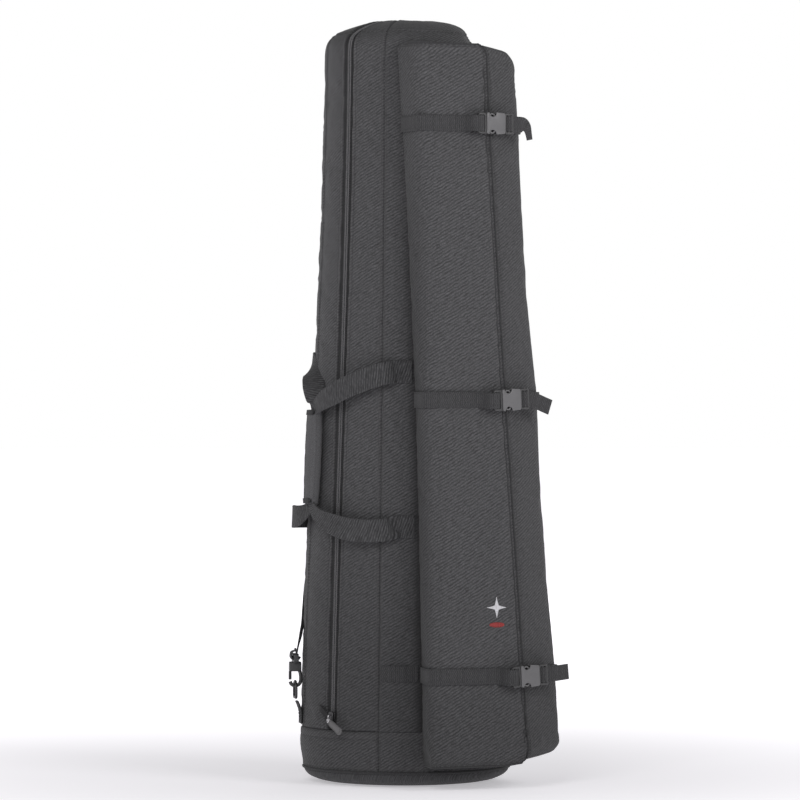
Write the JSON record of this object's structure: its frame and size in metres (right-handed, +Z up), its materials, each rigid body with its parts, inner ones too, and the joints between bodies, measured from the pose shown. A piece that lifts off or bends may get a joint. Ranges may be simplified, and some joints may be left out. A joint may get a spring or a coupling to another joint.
{
  "type": "telescope carry case",
  "caption": "Tall padded carry case: tapered round body with a zipped front cover, a strapped-on accessory case, a wrapped carry handle and a backpack harness.",
  "frame": {"origin": "middle of the base's flat bottom, on the floor", "axes": "+Z up along the case; the accessory case faces -Y; the zip runs up the -X side and the cover hinges on the +X side"},
  "size_m": [0.3034, 0.3132, 0.9725],
  "materials": {
    "polyester": "matt charcoal twill polyester",
    "base_cloth": "matt darker base cloth",
    "webbing": "woven polypropylene webbing",
    "foam": "closed-cell foam under a smooth lining",
    "black_plastic": "satin moulded acetal",
    "zip_coil": "nylon coil",
    "steel": "plated",
    "leather_pull": "grey synthetic leather"
  },
  "bodies": {
    "back_shell": {"back_shell": "polyester", "back_shell_foam": "foam", "lower_cup": "polyester", "lower_cup_foam": "foam", "base_cap": "base_cloth", "base_foam": "foam", "zip_teeth_shell": "zip_coil", "handle_web_rear": "webbing", "harness_web_left": "webbing", "harness_web_right": "webbing", "shoulder_pad_left": "polyester", "shoulder_pad_right": "polyester", "web_tab_left": "webbing", "web_tab_right": "webbing"},
    "cover": {"front_cover": "polyester", "front_cover_foam": "foam", "accessory_shell": "polyester", "accessory_back_panel": "polyester", "accessory_piping": "polyester", "zip_teeth_cover": "zip_coil", "handle_web_front": "webbing", "handle_wrap": "webbing", "strap_left_top": "webbing", "buckle_socket_top": "black_plastic", "strap_right_top": "webbing", "strap_left_middle": "webbing", "buckle_socket_middle": "black_plastic", "strap_right_middle": "webbing", "strap_left_bottom": "webbing", "buckle_socket_bottom": "black_plastic", "strap_right_bottom": "webbing"},
    "zip_slider": {"zip_slider": "steel"},
    "zip_pull": {"zip_pull": "leather_pull"},
    "plug_top": {"buckle_plug_top": "black_plastic", "strap_tail_top": "webbing"},
    "prong_upper_top": {"prong_upper_top": "black_plastic"},
    "prong_lower_top": {"prong_lower_top": "black_plastic"},
    "plug_middle": {"buckle_plug_middle": "black_plastic", "strap_tail_middle": "webbing"},
    "prong_upper_middle": {"prong_upper_middle": "black_plastic"},
    "prong_lower_middle": {"prong_lower_middle": "black_plastic"},
    "plug_bottom": {"buckle_plug_bottom": "black_plastic", "strap_tail_bottom": "webbing"},
    "prong_upper_bottom": {"prong_upper_bottom": "black_plastic"},
    "prong_lower_bottom": {"prong_lower_bottom": "black_plastic"},
    "d_ring_left": {"d_ring_left": "steel"},
    "hook_left": {"snap_hook_left": "black_plastic"},
    "gate_left": {"hook_gate_left": "black_plastic"},
    "d_ring_right": {"d_ring_right": "steel"},
    "hook_right": {"snap_hook_right": "black_plastic"},
    "gate_right": {"hook_gate_right": "black_plastic"}
  },
  "joints": [
    {"name": "cover_swing", "type": "hinge", "parent": "back_shell", "child": "cover", "pos_m": [0.13441, 0.0094, 0.07], "axis": [-0.0363, -0.0025, 0.9993], "range_deg": [0, 100]},
    {"name": "slider_run", "type": "slide", "parent": "back_shell", "child": "zip_slider", "axis": [0.034, 0.0169, 0.9993], "range_m": [0, 0.77]},
    {"name": "pull_flip", "type": "hinge", "parent": "zip_slider", "child": "zip_pull", "pos_m": [-0.12801, -0.06382, 0.08392], "axis": [-0.2653, 0.4599, -0.8474], "range_deg": [0, 100]},
    {"name": "plug_top_slide", "type": "slide", "parent": "cover", "child": "plug_top", "axis": [0.9848, 0.1736, 0], "range_m": [0, 0.024]},
    {"name": "prong_upper_top_squeeze", "type": "hinge", "parent": "plug_top", "child": "prong_upper_top", "pos_m": [0.07324, -0.15988, 0.8378], "axis": [0.1736, -0.9848, 0], "range_deg": [0, 7], "stiffness_Nm_per_rad": 0.05},
    {"name": "prong_lower_top_squeeze", "type": "hinge", "parent": "plug_top", "child": "prong_lower_top", "pos_m": [0.07324, -0.15988, 0.8222], "axis": [-0.1736, 0.9848, 0], "range_deg": [0, 7], "stiffness_Nm_per_rad": 0.05},
    {"name": "plug_middle_slide", "type": "slide", "parent": "cover", "child": "plug_middle", "axis": [0.9848, 0.1736, 0], "range_m": [0, 0.024]},
    {"name": "prong_upper_middle_squeeze", "type": "hinge", "parent": "plug_middle", "child": "prong_upper_middle", "pos_m": [0.08677, -0.17942, 0.4918], "axis": [0.1736, -0.9848, 0], "range_deg": [0, 7], "stiffness_Nm_per_rad": 0.05},
    {"name": "prong_lower_middle_squeeze", "type": "hinge", "parent": "plug_middle", "child": "prong_lower_middle", "pos_m": [0.08677, -0.17942, 0.4762], "axis": [-0.1736, 0.9848, 0], "range_deg": [0, 7], "stiffness_Nm_per_rad": 0.05},
    {"name": "plug_bottom_slide", "type": "slide", "parent": "cover", "child": "plug_bottom", "axis": [0.9848, 0.1736, 0], "range_m": [0, 0.024]},
    {"name": "prong_upper_bottom_squeeze", "type": "hinge", "parent": "plug_bottom", "child": "prong_upper_bottom", "pos_m": [0.10371, -0.19945, 0.1488], "axis": [0.1736, -0.9848, 0], "range_deg": [0, 7], "stiffness_Nm_per_rad": 0.05},
    {"name": "prong_lower_bottom_squeeze", "type": "hinge", "parent": "plug_bottom", "child": "prong_lower_bottom", "pos_m": [0.10371, -0.19945, 0.1332], "axis": [-0.1736, 0.9848, 0], "range_deg": [0, 7], "stiffness_Nm_per_rad": 0.05},
    {"name": "d_ring_left_swing", "type": "hinge", "parent": "back_shell", "child": "d_ring_left", "pos_m": [-0.13859, 0.02694, 0.107], "axis": [-0.1909, -0.9816, 0], "range_deg": [-5, 6]},
    {"name": "hook_left_swivel", "type": "hinge", "parent": "back_shell", "child": "hook_left", "pos_m": [-0.13859, 0.02694, 0.132], "axis": [0, 0, 1], "range_deg": [-15, 15]},
    {"name": "gate_left_press", "type": "hinge", "parent": "hook_left", "child": "gate_left", "pos_m": [-0.14506, 0.0282, 0.1402], "axis": [-0.1909, -0.9816, 0], "range_deg": [0, 12], "stiffness_Nm_per_rad": 0.02},
    {"name": "d_ring_right_swing", "type": "hinge", "parent": "back_shell", "child": "d_ring_right", "pos_m": [0.13859, 0.02694, 0.107], "axis": [-0.1909, 0.9816, 0], "range_deg": [-5, 6]},
    {"name": "hook_right_swivel", "type": "hinge", "parent": "back_shell", "child": "hook_right", "pos_m": [0.13859, 0.02694, 0.132], "axis": [0, 0, 1], "range_deg": [-15, 15]},
    {"name": "gate_right_press", "type": "hinge", "parent": "hook_right", "child": "gate_right", "pos_m": [0.14506, 0.0282, 0.1402], "axis": [-0.1909, 0.9816, 0], "range_deg": [0, 12], "stiffness_Nm_per_rad": 0.02}
  ],
  "couplings": [
    {"joint": "prong_lower_top_squeeze", "follows": "prong_upper_top_squeeze", "ratio": 1},
    {"joint": "prong_lower_middle_squeeze", "follows": "prong_upper_middle_squeeze", "ratio": 1},
    {"joint": "prong_lower_bottom_squeeze", "follows": "prong_upper_bottom_squeeze", "ratio": 1}
  ]
}
